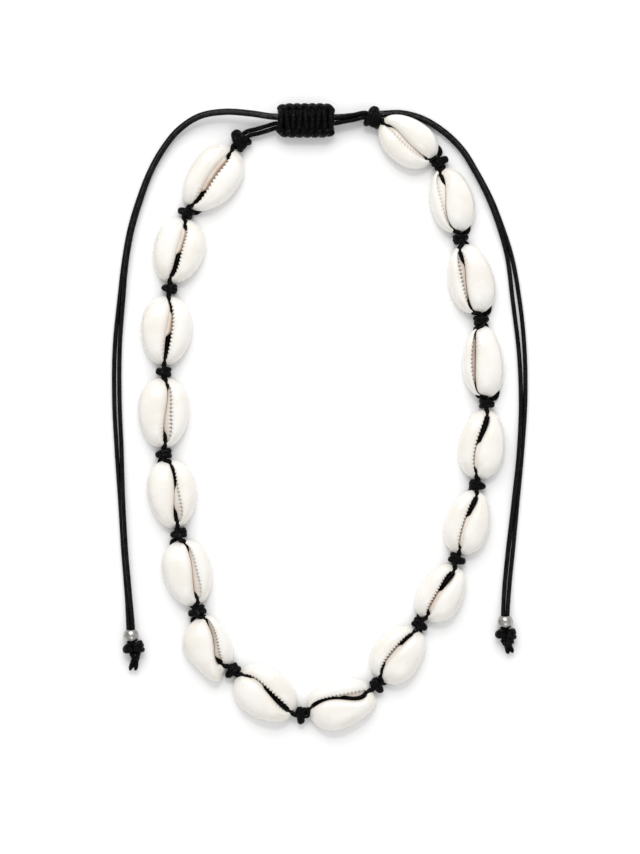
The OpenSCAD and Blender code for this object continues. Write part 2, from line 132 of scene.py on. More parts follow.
# Tails: steps across, steps up, cord diameters above the surface, share of the pair's spread
LEFT_TAIL = np.array([
    (-24.6, 161.2, 2.45, 1), (-38, 163, 2.3, 1), (-52, 164, 1.8, 1), (-66, 161.6, 1.2, 1),
    (-76.4, 155, 0.7, 1), (-85.6, 144, 0.3, 1), (-92, 132.6, 0.05, 1), (-98, 117, 0, 1.1),
    (-102.8, 100.8, 0, 1.1), (-105.8, 84, 0, 1.1), (-108, 63, 0, 1.3), (-110, 41, 0, 1.5),
    (-110.4, 9, 0, 1.6), (-109.2, -18, 0, 1.5), (-107.8, -45, 0, 1.15),
    (-106.2, -72, 0, 1.1), (-104, -98, 0.3, 1.2), (-102.8, -114, 1.2, 1.4),
    (-102.4, -122.4, 1.2, 1.4),
])
RIGHT_TAIL = np.array([
    (7.8, 161.1, 1.3, 1), (17, 162, 0.55, 1), (26, 162.8, 0, 1), (34, 163.4, 0, 1),
    (43, 163.6, 0, 1), (54, 160.8, 0, 1), (64.6, 154.6, 0, 1), (75.6, 144.2, 0, 1),
    (83.6, 131.4, 0, 1), (91, 117, 0, 1.1), (96.6, 102.4, 0, 1.2), (100.8, 88.8, 0, 1.4),
    (105, 63, 0, 1.9), (108, 36, 0, 1.7), (108.8, 9, 0, 1.4), (107.4, -18, 0, 1.2),
    (104.8, -45, 0, 1.3), (102, -72, 0, 1.5), (100, -92, 0.3, 1.5), (99, -106.6, 1.2, 1.4),
    (98.8, -115.2, 1.2, 1.4),
])
# Beads: steps across, steps up, way of the bore. Stoppers: way they hang, turn of the cut ends
LEFT_BEAD, RIGHT_BEAD = (-102.6, -118, -88), (99, -110.6, -91)
LEFT_STOPPER, RIGHT_STOPPER = (-72, -30, 1), (-80, 10, 0.6)
# Sliding knot, and where the loop's strands enter it: cords up from its middle, and cords
# above the surface
SLIDER_PLACE = (-8.4, 159.4)
LEFT_LOOP_END, RIGHT_LOOP_END = (-1.15, 1.3), (-0.1, 2.45)


def heading(angle):
    """The direction in plan at an angle in degrees, or one for each of several angles."""
    return np.array([np.cos(np.radians(angle)), np.sin(np.radians(angle)), 0 * angle]).T


def leftward(angle):
    """The direction in plan a quarter turn to the left of an angle in degrees."""
    return heading(angle + 90)


def spot(across, up, height=0):
    """A place in millimetres: the step times the steps across and up, and a height."""
    return np.array([STEP * across, STEP * up, height]).T


def bearing(v):
    """The angle in degrees of a direction in plan: the arc tangent of its y over its x."""
    return np.degrees(np.arctan2(v[1], v[0]))


def unit(v):
    """Vectors of length one: v divided by its length."""
    return v / np.maximum(np.linalg.norm(v, axis=-1, keepdims=True), 1e-12)


def mix(a, b, t):
    """a plus the share t of the way to b."""
    return a + (b - a) * t


def smooth_step(low, high, x):
    """3t² - 2t³, with t the share of the way from low to high, held between 0 and 1."""
    t = np.clip((x - low) / (high - low), 0, 1)
    return t * t * (3 - 2 * t)


def blunted(x, power):
    """The size of x to a power, with the sign of x. Below 1 it makes a round section boxy."""
    return np.sign(x) * np.abs(x) ** power


def turned(points, angle, middle):
    """Points turned in plan by an angle in degrees and moved to a middle."""
    return (
        middle + points[..., :1] * heading(angle) + points[..., 1:2] * leftward(angle)
        + points[..., 2:] * ABOVE
    )


SLIDER_MIDDLE = spot(*SLIDER_PLACE)
LAST_KNOT = len(KNOTS) - 1


def slider_end(way):
    """The middle of the sliding knot's left face, for way -1, or of its right face, for 1."""
    return SLIDER_MIDDLE + way * SLIDER_SIZE[0] / 2 * ACROSS


def knot_spot(i):
    """A knot's place on the surface: its row of the table times the step."""
    return spot(*KNOTS[i, :2])


def knot_angle(i):
    """Half way between the directions of the string before and after a knot."""
    before = slider_end(-1) if i == 0 else knot_spot(i - 1)
    after = slider_end(1) if i == LAST_KNOT else knot_spot(i + 1)
    return bearing(unit(knot_spot(i) - before) + unit(after - knot_spot(i)))


def knot_size(i):
    """A knot's length along the string, its width times its share, and its height."""
    length, width, height = END_KNOT_SIZE if i in (0, LAST_KNOT) else KNOT_SIZE
    return length, width * KNOTS[i, 2], height


def knot_middle(i):
    """A knot's place, raised by half its height and by the cords below it."""
    return knot_spot(i) + (knot_size(i)[2] / 2 + UNDER_CORD * KNOTS[i, 3]) * ABOVE


def strand_exit(i, way, level, inside=0):
    """Where a strand leaves a knot, or a distance inside its face: half the knot's length from its
    middle, and half the spread of the strands up for level 1 or down for level -1."""
    face = knot_spot(i) + way * (knot_size(i)[0] / 2 - inside) * heading(knot_angle(i))
    face[2] = UNDER_CORD * KNOTS[i, 3] + (KNOT_SIZE[2] + level * STRAND_SPREAD) / 2
    return face


def shell_angle(i):
    """The direction from the knot before a shell to the knot after it, plus the shell's turn."""
    return bearing(knot_spot(i + 1) - knot_spot(i)) + SHELLS[i, 1]


def half_length(i):
    """Half the usual length of a shell times its own share."""
    return SHELL_LENGTH * SHELLS[i, 2] / 2


def on_shell(i, p):
    """Points (along, towards the toothed side, up) moved to shell i: half way between its knots,
    turned by its angle, and raised towards the narrow end by the cords below that."""
    chord = bearing(knot_spot(i + 1) - knot_spot(i))
    middle = (knot_spot(i) + knot_spot(i + 1)) / 2 + SHELLS[i, 0] * heading(chord)
    p = np.array(p, float)
    p[..., 2:] += UNDER_CORD * SHELLS[i, 6] * (p[..., :1] / half_length(i) + 1) / 2
    return turned(p, shell_angle(i), middle)


class Form:
    """Gathers grids of points into one mesh, with a UV map and facts for each point."""

    def __init__(self):
        self.points, self.facts, self.faces, self.uvs, self.count = [], [], [], [], 0

    def grid(self, points, uv=(1, 1), close_rows=False, facts=None):
        """Quads between neighbouring rows and columns of points. The columns close, and where the
        rows don't, a fan to the middle of each end shuts the tube."""
        rows, columns = points.shape[:2]
        across = np.arange(rows if close_rows else rows - 1)
        i, j = np.meshgrid(across, np.arange(columns), indexing="ij")
        corner = [(i, j), (i, j + 1), (i + 1, j + 1), (i + 1, j)]
        quads = np.stack([(a % rows) * columns + b % columns for a, b in corner], -1)
        uvs = [np.stack([b * uv[0] / columns, a * uv[1]], -1) for a, b in corner]
        self.add_faces(quads, uvs)
        middles = np.zeros((0, 3))
        if not close_rows:
            middles = points[[0, -1]].mean(axis=1)
            ring = np.arange(columns)
            for end, row, steps in ((0, 0, (1, 0)), (1, rows - 1, (0, 1))):
                sides = [row * columns + (ring + step) % columns for step in steps]
                fan = np.stack([np.full(columns, rows * columns + end), *sides], -1)
                around = [(ring + step) * uv[0] / columns for step in (0, *steps)]
                height = np.full(columns, row * uv[1])
                self.add_faces(fan, [np.stack([u, height], -1) for u in around])
        self.points.append(np.vstack([points.reshape(-1, 3), middles]))
        self.facts.append(facts or {})
        self.count += len(self.points[-1])

    def add_faces(self, corners, uvs):
        """Keeps faces, given by the numbers of their corners in this grid, and a UV for each."""
        self.faces.append((self.count + corners).reshape(-1, corners.shape[-1]))
        self.uvs.append(np.stack(uvs, -2).reshape(-1, 2))

    def make(self, name, material, slot, node):
        """Puts the gathered points, in millimetres, into a new piece that replaces a CAD node."""
        mesh = bpy.data.meshes.new(name)
        faces = [face for part in self.faces for face in part.tolist()]
        mesh.from_pydata((np.vstack(self.points) * MM).tolist(), [], faces)
        mesh.polygons.foreach_set("use_smooth", np.ones(len(mesh.polygons), bool))
        uv_map = mesh.uv_layers.new(name="surface")
        uv_map.data.foreach_set("uv", np.vstack(self.uvs).astype(np.float32).ravel())
        for fact in self.facts[0]:
            attribute = mesh.attributes.new(fact, "FLOAT", "POINT")
            values = np.concatenate([part[fact].ravel() for part in self.facts])
            attribute.data.foreach_set("value", values.astype(np.float32))
        mesh.materials.append(material)
        mesh.update()
        piece = bpy.data.objects.new(name, mesh)
        bpy.context.scene.collection.objects.link(piece)
        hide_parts(node)
        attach(piece, "root")
        return piece


def curve_through(spots, spacing, fineness=24):
    """Points along a smooth curve through the spots: a cubic between each two, whose slope at a
    spot is the mean of the slopes on both sides, weighted by how near each neighbour is."""
    spots = np.asarray(spots, float)
    steps = np.linalg.norm(np.diff(spots, axis=0), axis=1)
    at = np.concatenate([[0], np.cumsum(steps)])
    slopes = np.diff(spots, axis=0) / steps[:, None]
    before, after = steps[:-1, None], steps[1:, None]
    inner = (after * slopes[:-1] + before * slopes[1:]) / (before + after)
    slope = np.vstack([slopes[:1], inner, slopes[-1:]])
    fine = np.linspace(at[0], at[-1], fineness * len(spots))
    k = np.clip(np.searchsorted(at, fine, side="right") - 1, 0, len(steps) - 1)
    run = steps[k][:, None]
    t = (fine - at[k])[:, None] / run
    curve = (
        (2 * t**3 - 3 * t**2 + 1) * spots[k]
        + (t**3 - 2 * t**2 + t) * run * slope[k]
        + (3 * t**2 - 2 * t**3) * spots[k + 1]
        + (t**3 - t**2) * run * slope[k + 1]
    )
    length = length_along(curve)
    wanted = np.linspace(0, length[-1], max(3, int(round(length[-1] / spacing)) + 1))
    return np.stack([np.interp(wanted, length, curve[:, axis]) for axis in range(3)], -1)


def length_along(path):
    """How far along a path each of its points lies: the sum of the steps before it."""
    return np.concatenate([[0], np.cumsum(np.linalg.norm(np.diff(path, axis=0), axis=1))])


def tube_points(path, radius, sides, tangent, guide=ABOVE):
    """Rings round a path: path + r(cos·side + sin·up), where side is square to the tangent and to
    the guide, and up to both."""
    tangent = unit(tangent)
    side = unit(np.cross(np.broadcast_to(guide, path.shape), tangent))
    up = np.cross(tangent, side)
    angle = np.arange(sides) * TURN / sides
    ring = np.cos(angle)[:, None] * side[:, None] + np.sin(angle)[:, None] * up[:, None]
    return path[:, None] + np.broadcast_to(radius, len(path))[:, None, None] * ring


def add_strand(form, path, radius, spacing, sides=14):
    """A cord along a path: its UV runs once round it and one unit for each millimetre along it."""
    form.grid(tube_points(path, radius, sides, np.gradient(path, axis=0)), (1, spacing))


def add_loop(form, loop, radius, guide, angle, middle, uv):
    """A closed strand, turned in plan and moved to a middle. Its rings are set by a guide that
    points away from the middle of the knot."""
    tangent = np.roll(loop, -1, axis=0) - np.roll(loop, 1, axis=0)
    rings = tube_points(loop, radius, 12, tangent, guide)
    form.grid(turned(rings, angle, middle), uv, close_rows=True)


def rounded_radius(path, radius, end):
    """The radius along a path: near both ends it falls as a quarter circle of the length given,
    almost to nothing."""
    gone = length_along(path)
    left = np.minimum(gone, gone[-1] - gone) / end + 0.01
    return radius * np.sqrt(1 - (1 - np.minimum(left, 1)) ** 2)


class Value:
    """A number that varies over a surface: a socket, on which + - and * add Math nodes."""

    def __init__(self, finish, socket):
        self.finish, self.socket = finish, socket

    def math(self, operation, *terms):
        """The result of a Math node on values and numbers."""
        node = self.finish.add("ShaderNodeMath", {"operation": operation}, dict(enumerate(terms)))
        return Value(self.finish, node.outputs[0])

    def __add__(self, other):
        return self.math("ADD", self, other)

    def __sub__(self, other):
        return self.math("SUBTRACT", self, other)

    def __rsub__(self, other):
        return self.math("SUBTRACT", other, self)

    def __mul__(self, other):
        return self.math("MULTIPLY", self, other)

    def __abs__(self):
        return self.math("ABSOLUTE", self)

    __radd__ = __add__
    __rmul__ = __mul__

    def sine(self):
        return self.math("SINE", self)

    def ramp(self, low, high):
        """3t² - 2t³ of the share of the way from low to high."""
        node = self.finish.add(
            "ShaderNodeMapRange",
            {"interpolation_type": "SMOOTHSTEP"},
            {"Value": self, "From Min": low, "From Max": high, "To Min": 0.0, "To Max": 1.0},
        )
        return Value(self.finish, node.outputs[0])


class Finish:
    """A material, with methods that add its nodes."""

    def __init__(self, name, constants):
        self.material = bpy.data.materials.new(name)
        self.material.use_nodes = True
        self.nodes = self.material.node_tree.nodes
        self.links = self.material.node_tree.links
        self.shader = self.nodes["Principled BSDF"]
        self.feed(self.shader, constants)

    def add(self, kind, settings, sockets):
        """Adds a node of a type: its settings first, then the values or links of its sockets."""
        node = self.nodes.new(kind)
        for setting, value in settings.items():
            setattr(node, setting, value)
        self.feed(node, sockets)
        return node

    def feed(self, node, sockets):
        """Sets sockets of a node to plain values, or links them to what varies over a surface."""
        for name, value in sockets.items():
            if isinstance(value, Value):
                value = value.socket
            if isinstance(value, bpy.types.NodeSocket):
                self.links.new(value, node.inputs[name])
            else:
                node.inputs[name].default_value = value

    def place(self):
        """The place on the piece, in its own coordinates."""
        return self.add("ShaderNodeTexCoord", {}, {}).outputs["Object"]

    def fact(self, name):
        """The value of one of the facts that a form keeps for each point."""
        node = self.add("ShaderNodeAttribute", {"attribute_name": name}, {})
        return Value(self, node.outputs["Fac"])

    def noise(self, size, detail=3.0):
        """Soft clouds of about this size in millimetres, from 0 to 1."""
        sockets = {"Vector": self.place(), "Scale": 1 / (size * MM), "Detail": detail}
        return Value(self, self.add("ShaderNodeTexNoise", {}, sockets).outputs[0])

    def uv(self):
        """How far round a cord and how far along it a point lies, as two values."""
        socket = self.add("ShaderNodeTexCoord", {}, {}).outputs["UV"]
        parts = self.add("ShaderNodeSeparateXYZ", {}, {0: socket})
        return Value(self, parts.outputs[0]), Value(self, parts.outputs[1])

    def blend(self, share, first, second):
        """The first colour where the share is 0 and the second where it is 1."""
        node = self.add("ShaderNodeMix", {"data_type": "RGBA"}, {0: share, 6: first, 7: second})
        return node.outputs[2]

    def bump(self, height, distance, strength):
        """Relief of the surface: the height from 0 to 1 times a distance in millimetres."""
        sockets = {"Height": height, "Distance": distance * MM, "Strength": strength}
        relief = self.add("ShaderNodeBump", {}, sockets)
        self.feed(self.shader, {"Normal": relief.outputs[0]})


def shell_finish(looks):
    """Polished cowrie enamel: cream with faint clouds, painted shade that greys the lower flanks,
    tan where the smooth lip rolls into the slit, painted shade as dark spots between the teeth, and
    a ledge from tan to pink beige inside the slit."""
    finish = Finish("cowrie enamel", {"IOR": 1.5, "Coat Roughness": 0.12, "Coat IOR": 1.5})
    along, toothed, from_lip, inside, gaps, height, tan, pale = map(
        finish.fact,
        ("along", "toothed", "from_lip", "inside", "between_teeth", "height", "tan", "pale"),
    )
    clouds, mottle = finish.noise(7), finish.noise(2.2)
    colour = finish.blend(clouds.ramp(0.3, 0.7), looks.enamel, looks.enamel_pale)
    # Painted shade: the lower flanks are greyed towards this colour, more the lower they lie.
    colour = finish.blend((1 - height.ramp(0, 0.65)) * 0.5, colour, looks.rim_painted_shade)
    middling = 1 - abs(along).ramp(0.55, 0.95)
    rolled = (1 - from_lip.ramp(0, 1.3)) * (1 - toothed) * middling
    colour = finish.blend(rolled * tan * (0.1 + 0.5 * mottle), colour, looks.slit_tint)
    ledge = finish.blend(pale, looks.ledge, looks.ledge_pale)
    blotches = mottle.ramp(0.3, 0.65) * 0.7 + 0.3
    ledge = finish.blend(tan * middling * blotches, ledge, looks.slit_tint)
    colour = finish.blend(inside.ramp(0.2, 1), colour, ledge)
    # Painted shade: near-black spots between the teeth, stronger in shells whose ledge is less
    # pale.
    colour = finish.blend(gaps * 2.4 * (1 - pale), colour, looks.tooth_gap_painted_shade)
    finish.feed(finish.shader, {
        "Base Color": colour,
        "Roughness": 0.2 + 0.16 * clouds + 0.2 * inside,
        "Coat Weight": 0.6 - 0.5 * inside.ramp(0, 1),
    })
    finish.bump(finish.noise(1.3, 2.0) * 0.5 + finish.noise(5), 0.05, 0.25)
    return finish.material


def cord_finish(looks, name="waxed cotton cord", dull=0.53, relief=1.0):
    """Waxed cotton cord: its yarns run round it both ways, so its relief is the larger of two
    sets of slanting ridges. Wax shines in spots, where soft clouds are above the dull level."""
    gloss = {"IOR": 1.45, "Specular IOR Level": 0.07, "Coat Roughness": 0.1, "Coat IOR": 1.22}
    finish = Finish(name, gloss)
    around, along = finish.uv()
    yarns, ridges_per_mm = 3.0, 1.1
    first = (TURN * (along * ridges_per_mm + around * yarns)).sine() * 0.5 + 0.5
    second = (TURN * (along * ridges_per_mm - around * yarns)).sine() * 0.5 + 0.5
    weave = first.math("MAXIMUM", first, second)
    fibres = finish.noise(0.35, 4.0)
    wax = finish.noise(2.5)
    colour = finish.blend(weave * fibres.ramp(0.3, 0.8), looks.cord, looks.cord_worn)
    finish.feed(finish.shader, {
        "Base Color": colour,
        "Roughness": 0.26 + 0.3 * wax * fibres + 0.05 * weave,
        "Coat Weight": finish.noise(0.8, 2.0).ramp(dull, dull + 0.17),
    })
    finish.bump(weave * 0.8 + fibres * 0.3, 0.16, relief)
    return finish.material


def tail_finish(looks):
    """The same cord where no knot has roughened it: smoother and with more wax."""
    return cord_finish(looks, "smooth waxed cord", 0.36, 0.6)


def steel_finish(looks):
    """Polished steel with fine turning marks and soft smears."""
    finish = Finish("polished steel", {"Metallic": 1.0})
    smears = finish.noise(1.1)
    marks = finish.noise(0.2, 2.0)
    colour = finish.blend(smears.ramp(0.3, 0.75), looks.steel, looks.steel_warm)
    roughness = 0.14 + 0.14 * smears + 0.05 * marks
    finish.feed(finish.shader, {"Base Color": colour, "Roughness": roughness})
    finish.bump(marks, 0.02, 0.3)
    return finish.material


def floor_finish(looks):
    """Matt white board with hardly visible clouds."""
    finish = Finish("studio board", {"Specular IOR Level": 0.1, "Roughness": 0.9})
    clouded = tuple(0.985 * part for part in looks.board[:3]) + (1,)
    colour = finish.blend(finish.noise(60), looks.board, clouded)
    finish.feed(finish.shader, {"Base Color": colour})
    return finish.material


# One section of a shell's wall, from its foot up over the shell and back inside: share of the way
# from the outline to the lip, millimetres short of that on the toothed and on the smooth side,
# and share of the height on both sides. Then share of the way and of the height where the wall
# is solid, at the shell's ends. Last, how far the ledge reaches there, how much of the teeth lies
# there, how far inside it is, and whether the way starts at the wall's own thickness.
SECTION = np.array([
    (0.10, 0, 0, 0, 0, 0.12, 0, 0, 0, 0, 0),
    (0, 0, 0, 0.24, 0.24, 0, 0.24, 0, 0, 0, 0),
    (0, 0, 0, 0.44, 0.44, 0, 0.46, 0, 0, 0, 0),
    (0.06, 0, 0, 0.67, 0.67, 0.06, 0.68, 0, 0, 0, 0),
    (0.17, 0, 0, 0.83, 0.83, 0.17, 0.84, 0, 0, 0, 0),
    (0.34, 0, 0, 0.94, 0.94, 0.34, 0.94, 0, 0, 0, 0),
    (0.55, 0, 0, 1, 1, 0.55, 1, 0, 0, 0, 0),
    (1, 1.2, 2, 1, 1, 0.76, 1, 0, 0, 0, 0),
    (1, 0.5, 1.1, 0.97, 0.965, 0.91, 0.965, 0, 0.2, 0, 0),
    (1, 0.12, 0.4, 0.89, 0.89, 0.985, 0.89, 0, 0.7, 0, 0),
    (1, 0, 0.08, 0.78, 0.82, 1, 0.78, 0.05, 1, 0.1, 0),
    (1, 0, 0, 0.73, 0.77, 1, 0.62, 0.5, 0.15, 0.6, 0),
    (1, 0, 0, 0.69, 0.6, 0.98, 0.48, 1, 0, 1, 0),
    (1, 0.1, 0.1, 0.55, 0.52, 0.96, 0.36, 0.9, 0, 1, 0),
    (0.88, 0, 0, 0.62, 0.62, 0.94, 0.26, 0.3, 0, 1, 0),
    (0.62, 0, 0, 0.8, 0.8, 0.92, 0.18, 0, 0, 1, 0),
    (0.20, 0, 0, 0.76, 0.76, 0.91, 0.12, 0, 0, 1, 1),
    (0.02, 0, 0, 0.4, 0.4, 0.9, 0.06, 0, 0, 1, 1),
    (0.12, 0, 0, 0, 0, 0.88, 0, 0, 0, 1, 1),
])
# Sections round a shell, and points between two rows of the table
AROUND, BETWEEN = 320, 3
# Outline: how much slimmer the narrow end is, how blunt the ends are, and how far they reach past
# the table's length. Lip: how evenly the sections are spread along it.
TAPER, BLUNT, TIP, EVEN_SPREAD = 0.12, 0.92, 0.3, 0.6
# The wall is solid where it is shorter than the first length from outline to lip, and arches fully
# where it is longer by the second. Its height falls from the middle to this share of the length.
BLOCK_RUN, ARCH_RUN, END_SHARE = 1.3, 3.2, np.cos(np.pi / 24)
# Slit: its least gap, the crack that a ledge leaves open, and from which sine of a section's angle
# down the slit closes. Ledge: between which shares of the length it ends, and how far it comes out
# on both sides of where the cord is hidden.
SMALLEST_GAP, CREASE, CLOSING = 0.25, 0.03, 0.2
LEDGE_END, LEDGE_SLOPE = (0.88, 0.98), (0.3, 0.12)
# Teeth: shares of the length between which they stand, power that blunts them, share of the depth
# that lies behind the lip, rise, and shares of the row over which it fades in and out. Folds:
# their depth and where they begin, as shares.
TOOTH_START, TOOTH_END, TOOTH_POWER, TOOTH_REST, TOOTH_RISE = -0.85, 0.8, 0.4, 0.6, 0.3
ROW_FADES = (-0.05, 0.06), (0.95, 1.05)
FOLD_DEPTH, FOLD_BEGIN = 0.35, (0.6, 0.9)


def slit_edge(i, s, first):
    """A lip of the slit: the polynomial through its five offsets towards the toothed side."""
    return np.polyval(np.polyfit(SLIT_PLACES, SLITS[i, first:first + 5], 4), s)


def slit_gap(i, s):
    """The way from the smooth lip to the toothed lip, and no less than the least gap."""
    return np.maximum(SMALLEST_GAP, slit_edge(i, s, 5) - slit_edge(i, s, 0))


def slit_across(i, s):
    """How far the middle of the slit lies towards the toothed side: the mean of the two lips."""
    return (slit_edge(i, s, 0) + slit_edge(i, s, 5)) / 2


def hidden_share(i, s):
    """1 where the cord is hidden below the ledge and 0 where it is seen in the slit, with a smooth
    step from one to the other at each end."""
    wide, narrow = SEEN[i, :2]
    start, end = 2 * wide - 1, 1 - 2 * narrow
    out, back = LEDGE_SLOPE
    return smooth_step(start - out, start + back, s) * (1 - smooth_step(end - back, end + out, s))


def widest_opening(i, s):
    """The most that the ledge leaves open: from its value at the wide end to that at the narrow."""
    return mix(SEEN[i, 2], SEEN[i, 3], smooth_step(-0.5, 0.5, s))


def open_width(i, s):
    """The width of the slit that its ledge leaves open: the most, or a crack where it hides the
    cord, and never more than the slit."""
    return np.minimum(slit_gap(i, s), mix(widest_opening(i, s), CREASE, hidden_share(i, s)))


def curve_weights(count, between):
    """Weights of a closed Catmull-Rom curve's control points for each of its points."""
    k = np.arange(count * between)
    t = (k % between) / between
    basis = np.stack([
        (-t + 2 * t**2 - t**3) / 2,
        (2 - 5 * t**2 + 3 * t**3) / 2,
        (t + 4 * t**2 - 3 * t**3) / 2,
        (t**3 - t**2) / 2,
    ])
    weights = np.zeros((len(k), count))
    for shift, part in zip((-1, 0, 1, 2), basis):
        np.add.at(weights, (k, (k // between + shift) % count), part)
    return weights


def shell_plan(i, a):
    """In plan, where the section at the angle a leaves the outline and reaches the lip, and the
    share of the slit's length there. The outline is half the length times cos a along and half
    the width times sin a across."""
    toothed = np.sin(a) > 0
    half = half_length(i)
    half_width = SHELL_WIDTH / 2 * np.where(toothed, SHELLS[i, 3], SHELLS[i, 4])
    lobe = np.where(~toothed & (np.cos(a) > 0), SHELLS[i, 5] * np.sin(2 * a) ** 2, 0)
    along = (half + TIP) * blunted(np.cos(a), BLUNT) + lobe
    rim = np.concatenate([along, half_width * np.sin(a) * (1 - TAPER * np.cos(a))], -1)
    even = 1 - 2 * np.minimum(a, TURN - a) / np.pi
    s_lip = mix(np.cos(a), even, EVEN_SPREAD)
    gap = slit_gap(i, s_lip) * np.minimum(1, np.abs(np.sin(a)) / CLOSING)
    across = slit_across(i, s_lip) + np.where(toothed, 1, -1) * gap / 2
    return rim, np.concatenate([(half - BRIDGE_WALL) * s_lip, across], -1), s_lip


def tooth_wave(s_lip, toothed, tooth_count):
    """Blunt teeth along the toothed lip, and faint folds across the smooth lip's narrow end: a
    cosine along the row, blunted by a power, and its strength, which fades at the row's ends."""
    row = (s_lip - TOOTH_START) / (TOOTH_END - TOOTH_START)
    wave = (0.5 + 0.5 * np.cos(TURN * tooth_count * row)) ** TOOTH_POWER
    fade_in, fade_out = ROW_FADES
    strength = smooth_step(*fade_in, row) * (1 - smooth_step(*fade_out, row))
    return wave, strength * np.where(toothed, 1, FOLD_DEPTH * smooth_step(*FOLD_BEGIN, row))


def cowrie_form(i, tooth_count, tooth_depth):
    """A closed ring of wall sections. Each runs from the outline up over the shell to the lip of
    the slit, on a closed curve through the points that the table of sections gives, and back
    inside. A ledge moves its points across the slit, and teeth push them along the section."""
    a = ((np.arange(AROUND) + 0.5) * TURN / AROUND)[:, None]
    toothed = np.sin(a) > 0
    rim, lip, s_lip = shell_plan(i, a)
    run = np.linalg.norm(lip - rim, axis=-1, keepdims=True)

    arched = np.clip((run - BLOCK_RUN) / ARCH_RUN, 0, 1)
    short = SECTION[:, 10] * SHELL_WALL - np.where(toothed, SECTION[:, 1], SECTION[:, 2])
    q = mix(SECTION[:, 5], SECTION[:, 0] + short / run, arched)
    z = mix(SECTION[:, 6], np.where(toothed, SECTION[:, 3], SECTION[:, 4]), arched)
    on_this_side = np.where(toothed, SEEN[i, 4], 1 - SEEN[i, 4])
    reach = slit_gap(i, s_lip) - open_width(i, s_lip)
    ledge = SECTION[:, 7] * on_this_side * reach * (1 - smooth_step(*LEDGE_END, np.abs(s_lip)))

    weights = curve_weights(len(SECTION), BETWEEN)
    q, z, ledge = q @ weights.T, np.maximum(z @ weights.T, 0), ledge @ weights.T
    inside = np.clip(SECTION[:, 9] @ weights.T, 0, 1)

    s = mix(np.cos(a), s_lip, np.clip(q, 0, 1))
    t = np.minimum(1, np.abs(s) / END_SHARE)
    low = ARCH_HEIGHT * t**6
    high = mix(NOTCH_HEIGHT, SHELL_HEIGHT, np.sqrt(1 - t**3))
    height = low + (high - low) * z

    wave, strength = tooth_wave(s_lip, toothed, tooth_count)
    comb = strength * np.clip(SECTION[:, 8] @ weights.T, 0, 1)
    push = tooth_depth * (wave - TOOTH_REST) * comb
    place = rim[:, None] + (lip - rim)[:, None] * q[..., None]
    across = np.concatenate([0 * a, np.where(toothed, -1, 1)], -1)
    place = place + unit(lip - rim)[:, None] * push[..., None] + across[:, None] * ledge[..., None]
    points = np.concatenate([place, (height + TOOTH_RISE * push)[..., None]], -1)

    whole = np.ones_like(height)
    facts = {
        "along": s * whole,
        "toothed": toothed * whole,
        "from_lip": np.where(inside < 0.9, np.maximum(0, 1 - q) * run, 0),
        "inside": inside * whole,
        "between_teeth": (1 - wave) * comb,
        "height": height / SHELL_HEIGHT,
        "tan": SEEN[i, 5] * whole,
        "pale": SEEN[i, 6] * whole,
    }
    form = Form()
    facts = {name: fact[:, ::-1] for name, fact in facts.items()}
    form.grid(on_shell(i, points)[:, ::-1], close_rows=True, facts=facts)
    return form


def ellipsoid_points(size, rows=14, columns=20):
    """Rings of an ellipsoid: size times (cos p, sin p cos t, sin p sin t), with p along x. It
    leaves a small angle at each pole to the caps."""
    at_pole = 0.08
    p = np.linspace(at_pole, np.pi - at_pole, rows)[::-1, None]
    t = (np.arange(columns) * TURN / columns)[None]
    shape = np.stack([np.cos(p) + 0 * t, np.sin(p) * np.cos(t), np.sin(p) * np.sin(t)], -1)
    return shape * np.asarray(size)


def coil(size, turns, phase, radius, count=130):
    """A closed strand that winds several times round the string while it goes once to and fro
    along it: x = X cos(p + phase) at the angle turns·p, further out by a tenth on the way back."""
    p = np.arange(count) * TURN / count
    further = 0.1
    out = (1 + further * np.sin(p + phase)) / (1 + further)
    x = (size[0] / 2 - radius) * np.cos(p + phase)
    y = (size[1] / 2 - radius) * out * np.cos(turns * p + 2 * phase)
    z = (size[2] / 2 - radius) * out * np.sin(turns * p + 2 * phase)
    return np.stack([x, y, z], -1)


# A knot's slanting loop and its core, as shares of the knot's length, width and height, and the
# millimetres from ring to ring along its strands
LOOP_SHARE, CORE_SHARE, RING_SPACING = (0.8, 1, 0.94), 0.42, 0.16


def add_knot(form, size, angle, middle, phase, radius):
    """A tight knot: a coil and a slanting loop round a core that shuts the gaps between them."""
    size = np.array(size)
    for share, turns, ahead in ((1, 2, 0), (LOOP_SHARE, 1, 1)):
        loop = coil(size * share, turns, phase + ahead, radius)
        guide = loop * np.array([0.1, 1, 1])
        add_loop(form, loop, radius, guide, angle, middle, (1, RING_SPACING))
    form.grid(turned(ellipsoid_points(size * CORE_SHARE), angle, middle), (1, 0.2))


def a_length(name, description, value, low, high):
    """A length in metres that the user can change, between a low and a high limit."""
    return bpy.props.FloatProperty(
        name=name, description=description, default=value, min=low, max=high,
        unit="LENGTH", subtype="DISTANCE", precision=4,
    )


def a_colour(name, description, value):
    """A colour that the user can change, given as linear red, green and blue."""
    return bpy.props.FloatVectorProperty(
        name=name, description=description, default=value + (1,), size=4, subtype="COLOR",
        min=0, max=1,
    )


class NecklaceSizes(bpy.types.PropertyGroup):
    """Sizes of the necklace's pieces, and the camera's height"""

    cord: a_length("Cord", "Diameter of one waxed strand", CORD * MM, 0.0008, 0.0015)
    tooth_depth: a_length("Tooth depth", "How far the teeth stand out", 0.42 * MM, 0, 0.0006)
    tooth_count: bpy.props.IntProperty(
        name="Teeth", description="Number of teeth along each slit", default=13, min=8, max=24,
    )
    camera_height: a_length("Camera height", "From the floor to the camera", 0.9, 0.5, 3)


